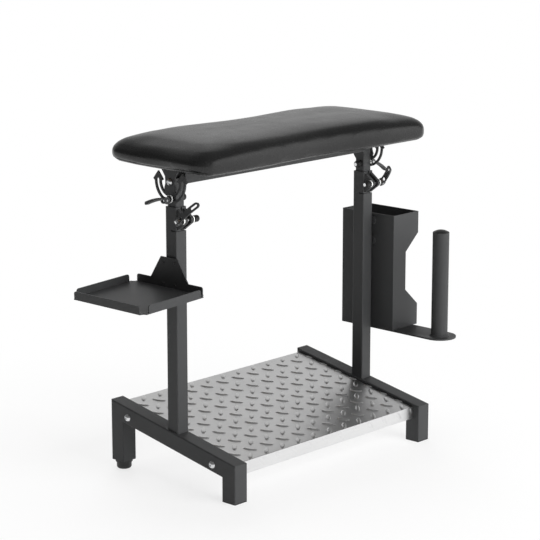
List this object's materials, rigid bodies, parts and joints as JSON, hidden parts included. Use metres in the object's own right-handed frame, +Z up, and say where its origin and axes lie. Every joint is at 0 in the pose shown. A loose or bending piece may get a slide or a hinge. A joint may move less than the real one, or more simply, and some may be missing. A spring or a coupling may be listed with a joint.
{
  "type": "tattoo arm rest stand",
  "caption": "Low stand with a padded arm rest that slides up and down and tilts on cam-clamped sectors, over a tread plate base with a tray, a glove box holder and a roll tube.",
  "frame": {"origin": "middle of the floor footprint of the whole stand, tray and holder included", "axes": "+X right along the rest, towards the glove box holder; -Y to the front, where the crossbars are low; +Z up"},
  "size_m": [0.72, 0.3258, 0.5966],
  "materials": {
    "black_coat": "satin powder coat",
    "black_plastic": "matte",
    "black_screws": "satin",
    "white_nylon": "matte",
    "tread_plate": "satin, raised tread bars",
    "bright_steel": "polished",
    "black_leather": "smooth, soft sheen",
    "plywood": "bare"
  },
  "bodies": {
    "base": {"left_crossbar": "black_coat", "right_crossbar": "black_coat", "left_front_leg": "black_coat", "right_front_leg": "black_coat", "left_rear_leg": "black_coat", "right_rear_leg": "black_coat", "front_leg_caps": "black_plastic", "rear_leg_glides": "black_plastic", "left_outer_post": "black_coat", "right_outer_post": "black_coat", "left_clamp_bolt": "bright_steel", "right_clamp_bolt": "bright_steel", "left_clamp_nut": "black_plastic", "right_clamp_nut": "black_plastic", "clamp_washers": "white_nylon", "clamp_saddles": "black_plastic", "checker_plate": "tread_plate", "plate_bolts": "bright_steel", "plate_nuts": "bright_steel", "left_mount_strips": "black_coat", "right_mount_strips": "black_coat", "tray": "black_coat", "tray_screws": "black_screws", "glove_box_holder": "black_coat", "holder_screws": "black_screws", "roll_plate": "black_coat", "roll_tube": "black_coat", "roll_cap": "black_plastic"},
    "carriage": {"left_inner_post": "black_coat", "right_inner_post": "black_coat", "left_lock_bolt": "bright_steel", "right_lock_bolt": "bright_steel", "left_lock_nut": "black_plastic", "right_lock_nut": "black_plastic", "lock_washers": "white_nylon", "lock_saddles": "black_plastic"},
    "rest": {"left_sector_plate": "black_coat", "right_sector_plate": "black_coat", "left_pivot_bolt": "bright_steel", "right_pivot_bolt": "bright_steel", "pivot_washers": "black_plastic", "pad_rail": "black_coat", "pad_board": "plywood", "pad_cushion": "black_leather", "pad_screws": "bright_steel"},
    "left_height_lever": {"left_height_lever": "black_coat"},
    "right_height_lever": {"right_height_lever": "black_coat"},
    "left_tilt_lever": {"left_tilt_lever": "black_coat"},
    "right_tilt_lever": {"right_tilt_lever": "black_coat"}
  },
  "joints": [
    {"name": "height_slide", "type": "slide", "parent": "base", "child": "carriage", "axis": [0, 0, 1], "range_m": [0, 0.27]},
    {"name": "rest_tilt", "type": "hinge", "parent": "carriage", "child": "rest", "pos_m": [0.03652, 0.01385, 0.5232], "axis": [1, 0, 0], "range_deg": [-75, 35]},
    {"name": "left_height_lever_turn", "type": "hinge", "parent": "base", "child": "left_height_lever", "pos_m": [-0.22318, -0.01225, 0.4608], "axis": [0, 0.7071, 0.7071], "range_deg": [-110, 0]},
    {"name": "right_height_lever_turn", "type": "hinge", "parent": "base", "child": "right_height_lever", "pos_m": [0.29622, -0.01225, 0.4608], "axis": [0, 0.7071, 0.7071], "range_deg": [0, 110]},
    {"name": "left_tilt_lever_turn", "type": "hinge", "parent": "carriage", "child": "left_tilt_lever", "pos_m": [-0.22488, 0.01385, 0.4946], "axis": [0, 1, 0], "range_deg": [-90, 0]},
    {"name": "right_tilt_lever_turn", "type": "hinge", "parent": "carriage", "child": "right_tilt_lever", "pos_m": [0.29792, 0.01385, 0.4946], "axis": [0, 1, 0], "range_deg": [-27, 63]}
  ]
}
